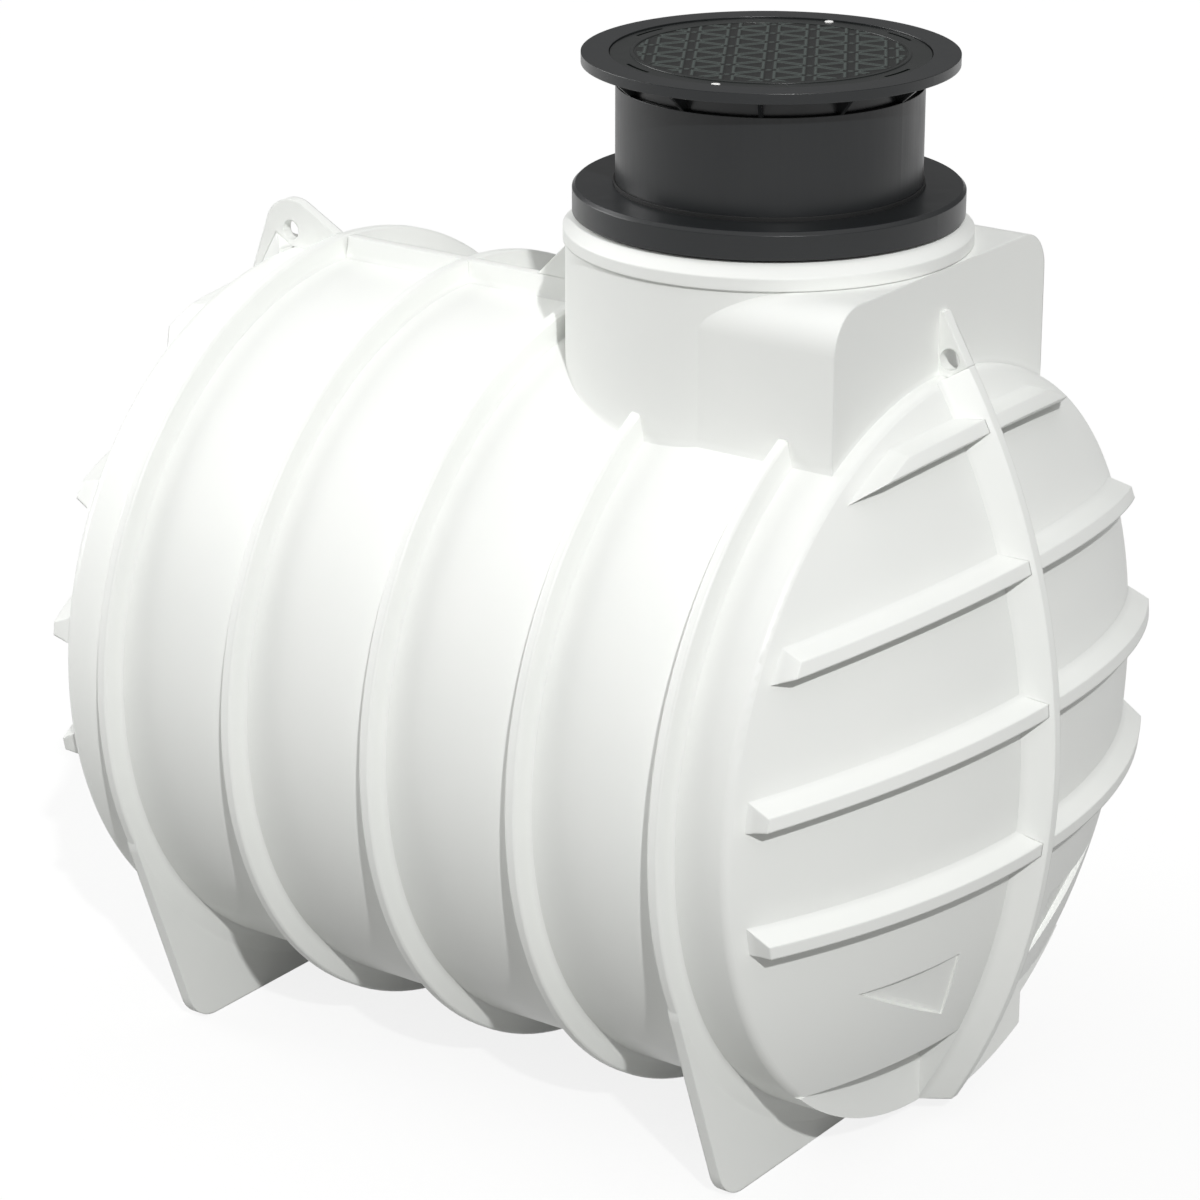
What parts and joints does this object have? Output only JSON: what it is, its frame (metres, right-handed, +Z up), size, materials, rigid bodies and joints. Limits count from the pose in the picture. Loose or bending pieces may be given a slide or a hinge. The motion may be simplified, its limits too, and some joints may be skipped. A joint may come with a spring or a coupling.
{
  "type": "underground water tank",
  "caption": "Horizontal ribbed polyethylene water tank on moulded feet, with a neck and pipe box, a sealing collar and a telescopic riser under a round cover.",
  "frame": {"origin": "on the floor under the middle of the tank's length and width", "axes": "+X along the tank towards the end with the pipe box, +Y across it, +Z up"},
  "size_m": [2.2358, 1.67, 2.222],
  "materials": {
    "tank_plastic": "satin, as rotationally moulded",
    "shaft_plastic": "satin, as moulded",
    "lid_plastic": "satin, anti-slip tread",
    "seal_rubber": "smooth"
  },
  "bodies": {
    "tank": {"back_arch_rib": "tank_plastic", "back_centre_rib": "tank_plastic", "back_cross_ribs_left": "tank_plastic", "back_cross_ribs_right": "tank_plastic", "back_end_left": "tank_plastic", "back_end_right": "tank_plastic", "back_lifting_eye": "tank_plastic", "back_saddle": "tank_plastic", "barrel_crown": "tank_plastic", "barrel_floor": "tank_plastic", "barrel_left": "tank_plastic", "barrel_right": "tank_plastic", "crown_seam_rib": "tank_plastic", "front_arch_rib": "tank_plastic", "front_centre_rib": "tank_plastic", "front_cross_ribs_left": "tank_plastic", "front_cross_ribs_right": "tank_plastic", "front_end_left": "tank_plastic", "front_end_right": "tank_plastic", "front_lifting_eye": "tank_plastic", "front_saddle": "tank_plastic", "keel_seam_rib": "tank_plastic", "manhole_neck": "tank_plastic", "neck_web": "tank_plastic", "pipe_box": "tank_plastic", "ring_rib_2": "tank_plastic", "ring_rib_3": "tank_plastic", "ring_rib_4": "tank_plastic", "riser_seal": "seal_rubber", "sealing_collar": "shaft_plastic"},
    "riser": {"cover_frame": "shaft_plastic", "cover_lid": "lid_plastic", "frame_gussets": "shaft_plastic", "frame_sleeve": "shaft_plastic", "riser_pipe": "shaft_plastic"}
  },
  "joints": [
    {"name": "riser_slide", "type": "slide", "parent": "tank", "child": "riser", "axis": [0, 0, 1], "range_m": [-0.15, 0.12]}
  ]
}
